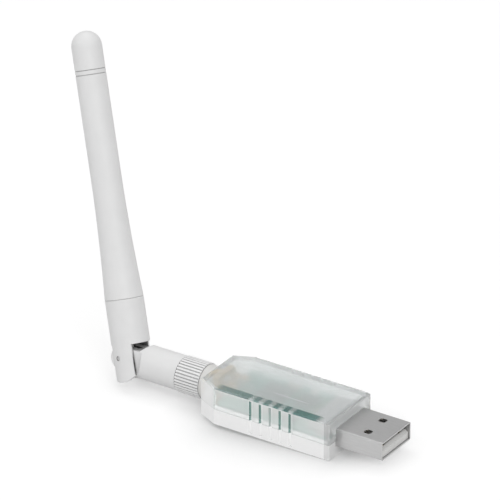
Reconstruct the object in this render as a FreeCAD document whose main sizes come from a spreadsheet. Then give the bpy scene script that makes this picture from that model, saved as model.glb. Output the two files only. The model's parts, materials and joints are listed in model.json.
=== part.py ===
import FreeCAD, Part
import Sketcher
from FreeCAD import Vector, Rotation
import math
import os
import re

# Radio stick with a hinged, screw-on antenna.
# Origin: axis of the plug at the housing's end face. +X leaves the plug, +Z is up.

SIZES = [
    # clear housing
    ("house_length", 36.0), ("house_width", 17.5), ("house_top", 4.6), ("house_bottom", 4.9),
    ("chamfer_long", 5.0), ("chamfer_side", 2.35), ("corner_round", 0.4), ("edge_bevel", 0.25),
    ("wall", 1.3), ("part_line", -0.9), ("lip_height", 0.8), ("lip_thick", 0.6),
    ("fit_gap", 0.05), ("running_gap", 0.07),
    ("groove_radius", 0.45), ("groove_pitch", 2.65), ("groove_share", 0.436),
    ("groove_top", 0.5), ("groove_foot", 0.8),
    # board and the posts that carry it
    ("board_top", 0.4), ("board_thick", 1.6), ("board_width", 14.4), ("board_room", 5.0),
    ("board_front", -1.5), ("board_corner", 1.0), ("notch_back", -7.6), ("notch_room", 0.2),
    ("post_half", 0.85), ("post_inset", 3.5), ("post_front", -9.5), ("post_side", 5.9),
    ("peg_radius", 0.5), ("peg_top", 0.2),
    # plug
    ("plug_width", 12.0), ("plug_height", 4.5), ("plug_reach", 12.2), ("plug_back", -7.0),
    ("plug_sheet", 0.3), ("plug_round", 0.4), ("window_spot", 6.75), ("window_side", 3.05),
    ("window_long", 1.8), ("window_wide", 1.7), ("window_cut", 0.35),
    ("tab_spot", -3.5), ("tab_long", 2.0), ("tab_reach", 0.95),
    ("tongue_top", 0.2), ("tongue_back", 0.4), ("tongue_room", 0.1), ("stop_long", 3.0),
    ("tongue_bevel_long", 0.8), ("tongue_bevel_tall", 0.55),
    ("contact_thick", 0.15), ("contact_width", 1.0), ("contact_outer", 3.5),
    ("contact_inner", 1.0), ("contact_long_back", 1.3), ("contact_short_back", 2.3),
    ("contact_foot", 1.35), ("contact_space", 0.45),
    # antenna jack
    ("jack_radius", 3.175), ("barrel_long", 7.2), ("jack_deep", 2.0), ("jack_flange", 1.5),
    ("flange_width", 7.0), ("flange_height", 6.2), ("leg_long", 4.2), ("leg_thick", 1.0),
    ("leg_side", 2.6), ("leg_width", 1.0), ("insulator_radius", 2.05), ("centre_radius", 0.635),
    ("tail_long", 2.5), ("socket_radius", 0.47), ("socket_deep", 3.0),
    # coupling nut, grip and snap ring
    ("nut_space", 0.15), ("nut_long", 8.6), ("collar_radius", 4.05), ("collar_long", 2.25),
    ("nut_radius", 3.7), ("nut_lip", 0.75),
    ("knurl_space", 0.1), ("knurl_radius", 4.35),
    ("knurl_deep", 0.28), ("knurl_gap", 0.4), ("knurl_count", 36),
    ("ring_radius", 2.75), ("ring_space", 0.25), ("ring_thick", 0.45), ("ring_gap", 0.9),
    # plug end of the antenna
    ("nose_radius", 2.3), ("neck_radius", 2.35), ("ring_seat", 2.0), ("ferrule_bore", 1.5),
    ("ferrule_flange", 2.95), ("ferrule_grip", 3.1),
    ("pin_radius", 0.45), ("pin_reach", 1.9),
    # swivel base and hinge
    ("base_space", 0.15), ("base_radius", 4.17), ("base_long", 15.4),
    ("swivel_angle", 16.0), ("lean_angle", 20.0),
    ("tongue_half", 3.22), ("knuckle_radius", 2.7), ("shoulder_radius", 5.85),
    ("mast_offset", 1.15), ("mast_clear", 4.65), ("under_angle", 14.0),
    ("hinge_pin_radius", 0.5), ("hinge_pin_half", 4.05), ("hinge_gap", 0.04),
    ("cable_radius", 0.55), ("cable_rise", 1.15), ("cable_stop", 2.1),
    ("channel_half", 0.85), ("channel_floor", 0.5), ("channel_end", 3.0),
    # fork of the mast
    ("fork_radius", 4.5), ("slot_half", 3.3), ("slot_top", 2.95), ("ear_flat", 2.45),
    ("ear_radius", 5.6), ("seam_height", 13.35), ("seam_bevel", 0.12),
    ("spigot_radius", 2.45), ("spigot_long", 4.0), ("hollow_half", 2.9), ("hollow_roof", 4.35),
    # mast tube and tip
    ("tube_bore", 2.5), ("mast_radius", 3.55), ("flare_long", 29.05), ("shank_long", 22.8),
    ("cap_bevel", 0.15), ("band_gap", 0.95), ("band_width", 0.25), ("band_deep", 0.15),
    ("cap_long", 6.45), ("cap_spigot", 3.0),
    # radiator inside the mast
    ("cable_low", 2.05), ("cable_over", 0.5), ("sleeve_space", 1.65), ("sleeve_long", 24.0),
    ("sleeve_radius", 2.4), ("sleeve_sheet", 0.3), ("wire_radius", 0.3), ("wire_space", 1.2),
]

# places that follow from the sizes: along the stick, then up the mast from its pin
PLACES = [
    ("groove_middle", "0 - house_length * groove_share"),
    ("board_back", "board_room - house_length"),
    ("post_back", "board_back + post_inset"),
    ("centre_tail", "board_back + tail_long"),
    ("notch_width", "plug_width + 2 * notch_room"),
    ("tongue_front", "plug_reach - tongue_back"),
    ("tongue_width", "plug_width - 2 * plug_sheet - 2 * tongue_room"),
    ("contact_long_end", "plug_reach - contact_long_back"),
    ("contact_short_end", "plug_reach - contact_short_back"),
    ("contact_step", "plug_back - contact_space"),
    ("contact_tail", "contact_step - contact_foot"),
    ("jack_mouth", "0 - house_length - barrel_long"),
    ("jack_seat", "jack_mouth + jack_deep"),
    ("nut_front", "0 - house_length - nut_space"),
    ("collar_back", "nut_front - collar_long"),
    ("knurl_front", "collar_back - knurl_space"),
    ("nut_back", "nut_front - nut_long"),
    ("knurl_back", "nut_back - fit_gap"),
    ("ring_front", "jack_mouth - ring_space"),
    ("base_front", "nut_back - base_space"),
    ("ferrule_back", "base_front - ferrule_grip"),
    ("pin_tip", "jack_seat + pin_reach"),
    ("pivot_x", "base_front - base_long"),
    ("hollow_top", "seam_height - hollow_roof"),
    ("blend_height", "seam_height + flare_long"),
    ("cap_height", "blend_height + shank_long"),
    ("dome_height", "cap_height + cap_long"),
    ("sleeve_low", "seam_height + spigot_long + sleeve_space"),
    ("sleeve_high", "sleeve_low + sleeve_long"),
    ("cable_high", "sleeve_high + cable_over"),
    ("wire_top", "cap_height - cap_spigot - wire_space"),
]

# parts on the board: share of the way from the jack's tail to the plug's contacts,
# middle across the board, length, width, height
BOARD_PARTS = [
    ("radio_chip", 0.406, 0.8, 7.0, 7.0, 0.9),
    ("bridge_chip", 0.817, 1.4, 5.0, 5.0, 0.85),
    ("radio_crystal", 0.401, -4.6, 3.2, 2.5, 0.75),
    ("voltage_regulator", 0.797, -4.5, 2.9, 1.6, 1.1),
    ("supply_capacitor", 0.589, -4.6, 1.25, 2.0, 1.0),
    ("core_capacitor", 0.553, 5.4, 0.8, 1.6, 0.8),
    ("radio_capacitor", 0.457, 5.4, 0.8, 1.6, 0.8),
    ("match_inductor", 0.1, 0, 1.0, 0.5, 0.5),
    ("match_capacitor", 0.1, -1.4, 1.0, 0.5, 0.45),
    ("led_resistor", 0.777, 4.75, 1.6, 0.8, 0.5),
    ("status_led", 0.777, 5.9, 1.6, 0.8, 0.6),
]

doc = FreeCAD.newDocument("RadioStick")
sheet = doc.addObject("Spreadsheet::Sheet", "Sizes")
for name, share, spot_y, length, width, height in BOARD_PARTS:
    SIZES.append((name + "_share", share))
    SIZES.append((name + "_y", spot_y))
    SIZES.append((name + "_long", length))
    SIZES.append((name + "_wide", width))
    SIZES.append((name + "_tall", height))
    PLACES.append((name + "_x", "centre_tail + %s_share * (contact_tail - centre_tail)" % name))
cells = SIZES + [(alias, "=" + words) for alias, words in PLACES]
for row, (alias, value) in enumerate(cells, start=1):
    sheet.set("A%d" % row, alias)
    sheet.setAlias("B%d" % row, alias)
for row, (alias, value) in enumerate(cells, start=1):
    sheet.set("B%d" % row, str(value))
doc.recompute()
ALIASES = {alias for alias, value in cells}

SWIVEL = "placement(vector(0; 0; 0); rotation(vector(-1; 0; 0); swivel_angle))"
LEAN = "placement(vector(pivot_x; 0; 0); rotation(vector(0; -1; 0); lean_angle))"
SHIFT = "placement(vector(mast_offset; 0; 0); rotation(vector(0; 0; 1); 0))"
MAST = SWIVEL + " * " + LEAN + " * " + SHIFT


def formula(words):
    def sheet_name(match):
        word = match.group(0)
        return "Sizes." + word if word in ALIASES else word
    return re.sub(r"[a-z][a-z_]+", sheet_name, str(words))


def bind(item, prop, words):
    item.setExpression(prop, formula(words))


def box(name, x, y, z):
    item = doc.addObject("Part::Box", name)
    for side, axis, (low, high) in zip(("Length", "Width", "Height"), "xyz", (x, y, z)):
        bind(item, side, "(%s) - (%s)" % (high, low))
        bind(item, "Placement.Base." + axis, low)
    return item


TURNS = {"x": ("0; 1; 0", 90), "y": ("1; 0; 0", -90), "z": ("0; 0; 1", 0)}


def rod(name, axis, start, end, radius, spot=("0", "0"), frame=None):
    item = doc.addObject("Part::Cylinder", name)
    bind(item, "Radius", radius)
    bind(item, "Height", "(%s) - (%s)" % (end, start))
    base = {"x": (start, spot[0], spot[1]), "y": (spot[0], start, spot[1]),
            "z": (spot[0], spot[1], start)}[axis]
    turn = "rotation(vector(%s); %d)" % TURNS[axis]
    place = "placement(vector(%s; %s; %s); %s)" % (base[0], base[1], base[2], turn)
    bind(item, "Placement", frame + " * " + place if frame else place)
    return item


def united(name, *items):
    item = doc.addObject("Part::MultiFuse", name)
    item.Shapes = list(items)
    item.Refine = True
    return item


def carved(name, base, *tools):
    tool = tools[0] if len(tools) == 1 else united(name + "_tools", *tools)
    item = doc.addObject("Part::Cut", name)
    item.Base = base
    item.Tool = tool
    item.Refine = True
    return item


def shared(name, *items):
    item = doc.addObject("Part::MultiCommon", name)
    item.Shapes = list(items)
    item.Refine = True
    return item


def origin_part(body, role):
    return [part for part in body.Origin.OriginFeatures if part.Role == role][0]


def outline(body, plane, corners, lift=None, arc=None):
    # closed outline; side number arc is an arc that ends upright at its second corner
    sketch = body.newObject("Sketcher::SketchObject", body.Name + "_outline")
    sketch.AttachmentSupport = [(origin_part(body, plane), "")]
    sketch.MapMode = "FlatFace"
    if lift is not None:
        bind(sketch, "AttachmentOffset.Base.z", lift)
    count = len(corners)
    ring = [Vector(*[float(sketch.evalExpression(formula(words))) for words in corner])
            for corner in corners]
    for k in range(count):
        start, end = ring[k], ring[(k + 1) % count]
        if k == arc:
            rise, reach = end.y - start.y, start.x - end.x
            radius = (rise ** 2 + reach ** 2) / (2 * reach)
            circle = Part.Circle(Vector(end.x + radius, end.y, 0), Vector(0, 0, 1), radius)
            sketch.addGeometry(Part.ArcOfCircle(circle, math.pi, math.pi + math.asin(rise / radius)))
        else:
            sketch.addGeometry(Part.LineSegment(start, end))
    first = [2 if k == arc else 1 for k in range(count)]
    for k in range(count):
        after = (k + 1) % count
        sketch.addConstraint(Sketcher.Constraint("Coincident", k, 3 - first[k], after, first[after]))
    if arc is not None:
        sketch.addConstraint(Sketcher.Constraint("Horizontal", arc, 1, arc, 3))
    for k, (across, up) in enumerate(corners):
        for kind, value, words in (("DistanceX", ring[k].x, across), ("DistanceY", ring[k].y, up)):
            index = sketch.addConstraint(Sketcher.Constraint(kind, -1, 1, k, first[k], value))
            bind(sketch, "Constraints[%d]" % index, words)
    return sketch


def slab(name, corners, low, high):
    body = doc.addObject("PartDesign::Body", name)
    sketch = outline(body, "XY_Plane", corners, low)
    pad = body.newObject("PartDesign::Pad", name + "_pad")
    pad.Profile = sketch
    bind(pad, "Length", "(%s) - (%s)" % (high, low))
    body.Tip = pad
    return body


def prism(name, corners, width):
    body = doc.addObject("PartDesign::Body", name)
    sketch = outline(body, "XZ_Plane", corners)
    pad = body.newObject("PartDesign::Pad", name + "_pad")
    pad.Profile = sketch
    pad.Midplane = True
    bind(pad, "Length", width)
    body.Tip = pad
    return body


def turned(name, corners, axis="H_Axis", frame=None, arc=None):
    body = doc.addObject("PartDesign::Body", name)
    sketch = outline(body, "XZ_Plane", corners, arc=arc)
    turn = body.newObject("PartDesign::Revolution", name + "_turn")
    turn.Profile = sketch
    turn.ReferenceAxis = (sketch, [axis])
    turn.Angle = 360
    body.Tip = turn
    if frame:
        bind(body, "Placement", frame)
    return body


def runs_along(edge, axis):
    step = edge.Vertexes[-1].Point - edge.Vertexes[0].Point
    spans = {"x": abs(step.x), "y": abs(step.y), "z": abs(step.z)}
    return spans[axis] > 0.9 * step.Length > 0


def rounded(body, radius, chosen):
    doc.recompute()
    last = body.Tip
    edges = ["Edge%d" % (k + 1) for k, edge in enumerate(last.Shape.Edges) if chosen(edge)]
    fillet = body.newObject("PartDesign::Fillet", body.Name + "_round_%d" % len(body.Group))
    fillet.Base = (last, edges)
    bind(fillet, "Radius", radius)
    body.Tip = fillet
    return body


def bevelled(body, size, upper):
    # every edge of the top face, or of the bottom face
    doc.recompute()
    last = body.Tip
    limits = last.Shape.BoundBox
    level = limits.ZMax if upper else limits.ZMin
    edges = ["Edge%d" % (k + 1) for k, edge in enumerate(last.Shape.Edges)
             if all(abs(v.Z - level) < 1e-4 for v in edge.Vertexes)]
    bevel = body.newObject("PartDesign::Chamfer", body.Name + "_bevel_%d" % len(body.Group))
    bevel.Base = (last, edges)
    bind(bevel, "Size", size)
    body.Tip = bevel
    return body


def house_outline(inset):
    # plan of the housing, every side moved in by the same distance
    slant = "sqrt(chamfer_long ^ 2 + chamfer_side ^ 2)"
    side = "(house_width / 2 - (%s))" % inset
    back = "(-house_length + (%s))" % inset
    turn_x = "(-house_length + chamfer_long + (%s) * (%s - chamfer_long) / chamfer_side)" % (inset, slant)
    back_y = ("(house_width / 2 - ((%s) * %s + chamfer_side * (chamfer_long - (%s))) / chamfer_long)"
              % (inset, slant, inset))
    front = "(0 - (%s))" % inset
    upper = [(front, side), (turn_x, side), (back, back_y)]
    return upper + [(x, "0 - " + y) for x, y in reversed(upper)]


nodes = {}

# housing: clear cover and tray, joined by a lip inside the wall
cover_block = slab("cover_block", house_outline("0"), "part_line", "house_top")
rounded(cover_block, "corner_round", lambda e: runs_along(e, "z")
        and all(abs(v.X) < 1e-6 for v in e.Vertexes))
bevelled(cover_block, "edge_bevel", True)
tray_block = slab("tray_block", house_outline("0"), "0 - house_bottom", "part_line")
rounded(tray_block, "corner_round", lambda e: runs_along(e, "z")
        and all(abs(v.X) < 1e-6 for v in e.Vertexes))
bevelled(tray_block, "edge_bevel", False)

cover_hollow = slab("cover_hollow", house_outline("wall"), "part_line", "house_top - wall")
cover_rebate = slab("cover_rebate", house_outline("wall - lip_thick - fit_gap"), "part_line",
                    "part_line + lip_height + fit_gap")
tray_lip = slab("tray_lip", house_outline("wall - lip_thick"), "part_line", "part_line + lip_height")
tray_hollow = slab("tray_hollow", house_outline("wall"), "wall - house_bottom",
                   "part_line + lip_height + 0.1")

plug_door = box("plug_door", ("0 - wall - 1", "1"),
                ("0 - plug_width / 2 - fit_gap", "plug_width / 2 + fit_gap"),
                ("0 - plug_height / 2 - fit_gap", "plug_height / 2 + fit_gap"))
jack_door = rod("jack_door", "x", "-house_length - 1", "wall - house_length + 1",
                "jack_radius + fit_gap")

grooves = []
for side in (-1, 1):
    for k in range(5):
        spot = "groove_middle + groove_pitch * %d" % (k - 2)
        edge = "house_width / 2 * %d" % side
        tag = "%s_%d" % ("near" if side < 0 else "far", k + 1)
        grooves.append(rod("grip_groove_" + tag, "z", "groove_foot - house_bottom",
                           "house_top - groove_top", "groove_radius", (spot, edge)))
grip_grooves = united("grip_grooves", *grooves)

posts, pegs, holes = [], [], []
for x_name, side in (("post_back", 1), ("post_back", -1), ("post_front", 1), ("post_front", -1)):
    tag = "%s_%s" % (x_name, "left" if side > 0 else "right")
    spot = (x_name, "post_side * %d" % side)
    across, along = [(middle + " - post_half", middle + " + post_half") for middle in spot]
    posts.append(box(tag, across, along, ("wall - house_bottom - 0.2", "board_top - board_thick")))
    if (x_name == "post_back") == (side > 0):
        pegs.append(rod("peg_" + tag, "z", "board_top - board_thick - 0.2", "peg_top",
                        "peg_radius", spot))
        holes.append(rod("hole_" + tag, "z", "board_top - board_thick - 1", "board_top + 1",
                         "peg_radius + fit_gap", spot))

nodes["housing_cover"] = carved("housing_cover", cover_block, cover_hollow, cover_rebate, plug_door,
                                jack_door, grip_grooves)
tray_solid = united("tray_solid", tray_block, tray_lip)
tray_empty = carved("tray_empty", tray_solid, tray_hollow, plug_door, jack_door, grip_grooves)
nodes["housing_tray"] = united("housing_tray", tray_empty, *(posts + pegs))

# circuit board, notched round the plug's shell
half = "board_width / 2"
notch = "notch_width / 2"
board_side = [("board_front", half), ("board_back + board_corner", half),
              ("board_back", half + " - board_corner * 0.6")]
board_plan = ([("notch_back", notch), ("board_front", notch)] + board_side
              + [(x, "0 - (%s)" % y) for x, y in reversed(board_side)]
              + [("board_front", "0 - " + notch), ("notch_back", "0 - " + notch)])
board_plate = slab("board_plate", board_plan, "board_top - board_thick", "board_top")
nodes["circuit_board"] = carved("circuit_board", board_plate, *holes)


def board_span(name):
    x = (name + "_x - " + name + "_long / 2", name + "_x + " + name + "_long / 2")
    y = (name + "_y - " + name + "_wide / 2", name + "_y + " + name + "_wide / 2")
    return x, y


for name in ("radio_chip", "bridge_chip", "supply_capacitor", "core_capacitor", "radio_capacitor",
             "match_inductor", "match_capacitor", "led_resistor"):
    across, along = board_span(name)
    nodes[name] = box(name, across, along, ("board_top", "board_top + %s_tall" % name))

# crystal: ceramic foot under a smaller metal lid
across, along = board_span("radio_crystal")
crystal_foot = box("crystal_foot", across, along, ("board_top", "board_top + radio_crystal_tall / 2"))
crystal_lid = box("crystal_lid", (across[0] + " + 0.2", across[1] + " - 0.2"),
                  (along[0] + " + 0.2", along[1] + " - 0.2"),
                  ("board_top", "board_top + radio_crystal_tall"))
nodes["radio_crystal"] = united("radio_crystal", crystal_foot, crystal_lid)

# lamp: flat foot with a lens on it
across, along = board_span("status_led")
led_foot = box("led_foot", across, along, ("board_top", "board_top + status_led_tall / 2"))
led_lens = box("led_lens", (across[0] + " + 0.3", across[1] + " - 0.3"), along,
               ("board_top", "board_top + status_led_tall"))
nodes["status_led"] = united("status_led", led_foot, led_lens)

# regulator: raised body on five flat legs
across, along = board_span("voltage_regulator")
regulator = [box("regulator_body", across, along,
                 ("board_top + 0.15", "board_top + voltage_regulator_tall"))]
for side, places in ((-1, (-0.95, 0, 0.95)), (1, (-0.95, 0.95))):
    for place in places:
        middle = "voltage_regulator_x + %s" % place
        inner = "voltage_regulator_y + voltage_regulator_wide / 2 * %d" % side
        low, high = (inner + " - 0.6", inner) if side < 0 else (inner, inner + " + 0.6")
        leg_z = ("board_top", "board_top + 0.2")
        if side < 0:
            high = high + " + 0.3"
        else:
            low = low + " - 0.3"
        regulator.append(box("regulator_leg_%d" % len(regulator),
                             (middle + " - 0.2", middle + " + 0.2"), (low, high), leg_z))
nodes["voltage_regulator"] = united("voltage_regulator", *regulator)

# plug: folded steel shell, plastic tongue and four contacts
plug_side = "plug_width / 2"
plug_tall = "plug_height / 2"
shell_block = slab("shell_block", [("plug_back", "0 - " + plug_side), ("plug_reach", "0 - " + plug_side),
                                   ("plug_reach", plug_side), ("plug_back", plug_side)],
                   "0 - " + plug_tall, plug_tall)
rounded(shell_block, "plug_round", lambda e: runs_along(e, "x"))
inner_side = "(plug_width / 2 - plug_sheet)"
inner_tall = "(plug_height / 2 - plug_sheet)"
shell_void = slab("shell_void", [("plug_back - 1", "0 - " + inner_side),
                                 ("plug_reach + 1", "0 - " + inner_side),
                                 ("plug_reach + 1", inner_side), ("plug_back - 1", inner_side)],
                  "0 - " + inner_tall, inner_tall)
windows = []
for side in (-1, 1):
    middle = "window_side * %d" % side
    back, front = "window_spot - window_long / 2", "window_spot + window_long / 2"
    inner, outer = middle + " - window_wide / 2", middle + " + window_wide / 2"
    window = slab("plug_window_%s" % ("near" if side < 0 else "far"),
                  [(back, inner + " + window_cut"), (back + " + window_cut", inner),
                   (front + " - window_cut", inner), (front, inner + " + window_cut"),
                   (front, outer + " - window_cut"), (front + " - window_cut", outer),
                   (back + " + window_cut", outer), (back, outer + " - window_cut")],
                  "0 - plug_height", "plug_height")
    windows.append(window)
shell_tube = carved("shell_tube", shell_block, shell_void, *windows)
tabs = []
for side in (-1, 1):
    start, end = "plug_width / 2 - plug_sheet", "plug_width / 2 + tab_reach"
    span = (start, end) if side > 0 else ("0 - (%s)" % end, "0 - (%s)" % start)
    tabs.append(box("shell_tab_%s" % ("near" if side < 0 else "far"),
                    ("tab_spot - tab_long / 2", "tab_spot + tab_long / 2"), span,
                    ("board_top", "board_top + plug_sheet")))
nodes["usb_shell"] = united("usb_shell", shell_tube, *tabs)

tongue_low = "plug_sheet - plug_height / 2 + fit_gap"
tongue_bar = prism("tongue_bar", [
    ("plug_back", tongue_low), ("tongue_front", tongue_low),
    ("tongue_front", "tongue_top - tongue_bevel_tall"),
    ("tongue_front - tongue_bevel_long", "tongue_top"), ("plug_back", "tongue_top")], "tongue_width")
tongue_stop = box("tongue_stop", ("plug_back", "plug_back + stop_long"),
                  ("0 - tongue_width / 2", "tongue_width / 2"),
                  ("tongue_top - 0.1", "plug_height / 2 - plug_sheet - fit_gap"))
tongue_block = united("tongue_block", tongue_bar, tongue_stop)
tracks = []
CONTACTS = (("usb_contact_supply", "contact_outer", "contact_long_end"),
            ("usb_contact_minus", "contact_inner", "contact_short_end"),
            ("usb_contact_plus", "0 - contact_inner", "contact_short_end"),
            ("usb_contact_ground", "0 - contact_outer", "contact_long_end"))
for name, middle, end in CONTACTS:
    track_y = (middle + " - contact_width / 2", middle + " + contact_width / 2")
    tracks.append(box(name + "_track", ("plug_back - 1", end), track_y,
                      ("tongue_top - contact_thick", "tongue_top")))
    strip = box(name + "_strip", ("contact_step", end), track_y,
                ("tongue_top - contact_thick", "tongue_top"))
    riser = box(name + "_riser", ("contact_step", "contact_step + contact_thick"), track_y,
                ("tongue_top - contact_thick", "board_top + contact_thick"))
    foot = box(name + "_foot", ("contact_tail", "contact_step + contact_thick"), track_y,
               ("board_top", "board_top + contact_thick"))
    nodes[name] = united(name, strip, riser, foot)
nodes["usb_tongue"] = carved("usb_tongue", tongue_block, *tracks)

# antenna jack: threaded barrel through the end wall, flange inside, four soldered legs
flange_back = "wall - house_length"
flange_front = "wall - house_length + jack_flange"
barrel = rod("jack_barrel", "x", "jack_mouth", flange_front, "jack_radius")
flange = box("jack_flange_plate", (flange_back, flange_front),
             ("0 - flange_width / 2", "flange_width / 2"),
             ("0 - flange_height / 2", "flange_height / 2"))
legs = []
for side in (-1, 1):
    for level, span in (("over", ("board_top", "board_top + leg_thick")),
                        ("under", ("board_top - board_thick - leg_thick", "board_top - board_thick"))):
        middle = "leg_side * %d" % side
        legs.append(box("jack_leg_%s_%s" % (level, "near" if side < 0 else "far"),
                        (flange_front + " - 0.2", flange_front + " + leg_long"),
                        (middle + " - leg_width / 2", middle + " + leg_width / 2"), span))
jack_solid = united("jack_solid", barrel, flange, *legs)
jack_bore = rod("jack_bore", "x", "jack_seat - 1", flange_front + " + 1",
                "insulator_radius + fit_gap / 2")
jack_mouth_bore = rod("jack_mouth_bore", "x", "jack_mouth - 1", "jack_seat",
                      "nose_radius + running_gap")
nodes["antenna_jack"] = carved("antenna_jack", jack_solid, jack_bore, jack_mouth_bore)
nodes["jack_insulator"] = turned("jack_insulator", [
    ("jack_seat", "centre_radius + 0.02"), ("jack_seat", "insulator_radius"),
    (flange_front, "insulator_radius"), (flange_front, "centre_radius + 0.02")])
centre_rod = rod("centre_rod", "x", "jack_seat", "centre_tail", "centre_radius")
centre_hole = rod("centre_hole", "x", "jack_seat - 1", "jack_seat + socket_deep", "socket_radius")
centre_flat = box("centre_flat", ("board_back - 0.1", "centre_tail + 1"), ("-2", "2"),
                  ("-2", "board_top"))
nodes["jack_contact"] = carved("jack_contact", centre_rod, centre_hole, centre_flat)

# coupling nut with a smooth collar, ribbed grip pressed over it, snap ring behind its lip
nut_bore = "jack_radius + fit_gap"
nut_step = "nut_back + nut_lip"
nodes["coupling_nut"] = turned("coupling_nut", [
    ("nut_front", nut_bore), ("nut_front", "collar_radius"), ("collar_back", "collar_radius"),
    ("collar_back", "nut_radius"), ("nut_back", "nut_radius"),
    ("nut_back", "neck_radius + running_gap"), (nut_step, "neck_radius + running_gap"),
    (nut_step, nut_bore)])
grip_bore = "nut_radius + fit_gap / 2"
grip = turned("knurled_grip", [
    ("knurl_front", grip_bore), ("knurl_front", "knurl_radius"),
    ("knurl_back", "knurl_radius"), ("knurl_back", grip_bore)])
rib_sketch = outline(grip, "YZ_Plane", [
    ("0 - knurl_gap / 2", "knurl_radius + 0.1"), ("knurl_gap / 2", "knurl_radius + 0.1"),
    ("knurl_gap / 6", "knurl_radius - knurl_deep"), ("0 - knurl_gap / 6", "knurl_radius - knurl_deep")])
rib_cut = grip.newObject("PartDesign::Pocket", "rib_gap")
rib_cut.Profile = rib_sketch
rib_cut.Type = "ThroughAll"
rib_cut.Midplane = True
grip.Tip = rib_cut
doc.recompute()
ribs = grip.newObject("PartDesign::PolarPattern", "rib_gaps")
ribs.Originals = [rib_cut]
ribs.Axis = (origin_part(grip, "X_Axis"), [""])
ribs.Angle = 360
bind(ribs, "Occurrences", "knurl_count")
grip.Tip = ribs
nodes["knurled_grip"] = grip
ring_hoop = turned("ring_hoop", [
    ("ring_front", "ring_seat + running_gap"), ("ring_front", "ring_radius"),
    ("ring_front - ring_thick", "ring_radius"), ("ring_front - ring_thick", "ring_seat + running_gap")])
ring_split = box("ring_split", ("ring_front - 2", "ring_front + 2"),
                 ("0 - ring_gap / 2", "ring_gap / 2"), ("0 - ring_radius - 1", "0"))
nodes["retaining_ring"] = carved("retaining_ring", ring_hoop, ring_split)

# plug end of the antenna, held in the swivel base
nose_front = "jack_seat - 0.05"
groove_front = "ring_front + fit_gap"
groove_back = "ring_front - ring_thick - fit_gap"
nodes["plug_ferrule"] = turned("plug_ferrule", [
    (nose_front, "ferrule_bore"), (nose_front, "nose_radius"), (groove_front, "nose_radius"),
    (groove_front, "ring_seat"), (groove_back, "ring_seat"), (groove_back, "neck_radius"),
    ("base_front", "neck_radius"), ("base_front", "ferrule_flange"),
    ("ferrule_back", "ferrule_flange"), ("ferrule_back", "ferrule_bore")], frame=SWIVEL)
nodes["plug_insulator"] = turned("plug_insulator", [
    (nose_front, "pin_radius + 0.02"), (nose_front, "ferrule_bore - 0.03"),
    ("ferrule_back", "ferrule_bore - 0.03"), ("ferrule_back", "pin_radius + 0.02")], frame=SWIVEL)
nodes["plug_pin"] = turned("plug_pin", [
    ("pin_tip", "0"), ("pin_tip", "pin_radius / 2"), ("pin_tip - 0.4", "pin_radius"),
    ("ferrule_back", "pin_radius"), ("ferrule_back", "0")], frame=SWIVEL)

# swivel base: round body that ends in the hinge's tongue
base_round = turned("base_round", [
    ("base_front", "ferrule_flange + fit_gap / 2"), ("base_front", "base_radius - seam_bevel"),
    ("base_front - seam_bevel", "base_radius"),
    ("pivot_x - knuckle_radius - 0.5", "base_radius"), ("pivot_x - knuckle_radius - 0.5", "0"),
    ("ferrule_back", "0"), ("ferrule_back", "ferrule_flange + fit_gap / 2")])
top_flat = box("top_flat", ("pivot_x - 9", "pivot_x + mast_offset"), ("-6", "6"),
               ("knuckle_radius", "6"))
mast_room = rod("mast_room", "z", "knuckle_radius", "6", "mast_clear", ("pivot_x + mast_offset", "0"))
shoulder_near = rod("shoulder_near", "y", "-6", "0 - tongue_half", "shoulder_radius", ("pivot_x", "0"))
shoulder_far = rod("shoulder_far", "y", "tongue_half", "6", "shoulder_radius", ("pivot_x", "0"))
end_block = box("end_block", ("pivot_x - 9", "pivot_x"), ("-6", "6"), ("-6", "6"))
end_round = rod("end_round", "y", "-7", "7", "knuckle_radius", ("pivot_x", "0"))
end_cut = carved("end_cut", end_block, end_round)
under_cut = doc.addObject("Part::Box", "under_cut")
bind(under_cut, "Length", "knuckle_radius * 2.6")
bind(under_cut, "Width", "base_radius * 3")
bind(under_cut, "Height", "base_radius")
bind(under_cut, "Placement", "placement(vector(pivot_x; base_radius * -1.5; 0 - knuckle_radius); "
     "rotation(vector(0; 1; 0); under_angle)) * "
     "placement(vector(0; 0; 0 - base_radius); rotation(vector(0; 0; 1); 0))")
base_pin_hole = rod("base_pin_hole", "y", "-6", "6", "hinge_pin_radius + hinge_gap", ("pivot_x", "0"))
channel = box("cable_channel", ("pivot_x - 4", "pivot_x + channel_end"),
              ("0 - channel_half", "channel_half"), ("channel_floor", "5"))
cable_turn = ("placement(vector(ferrule_back; 0; 0); rotation(vector(0; 1; 0); "
              "atan(cable_rise / (ferrule_back - pivot_x - cable_stop)) / 1 deg - 90))")
cable_run = "sqrt((ferrule_back - pivot_x - cable_stop) ^ 2 + cable_rise ^ 2)"
cable_bore = doc.addObject("Part::Cylinder", "cable_bore")
bind(cable_bore, "Radius", "cable_radius + 0.1")
bind(cable_bore, "Height", cable_run)
bind(cable_bore, "Placement", cable_turn)
swivel_base = carved("swivel_base", base_round, top_flat, mast_room, shoulder_near, shoulder_far,
                     end_cut, under_cut, base_pin_hole, channel, cable_bore)
bind(swivel_base, "Placement", SWIVEL)
nodes["swivel_base"] = swivel_base
cable_lower = doc.addObject("Part::Cylinder", "coax_lower")
bind(cable_lower, "Radius", "cable_radius")
bind(cable_lower, "Height", cable_run + " - 0.15")
bind(cable_lower, "Placement", SWIVEL + " * " + cable_turn
     + " * placement(vector(0; 0; 0.15); rotation(vector(0; 0; 1); 0))")
nodes["coax_lower"] = cable_lower

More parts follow.
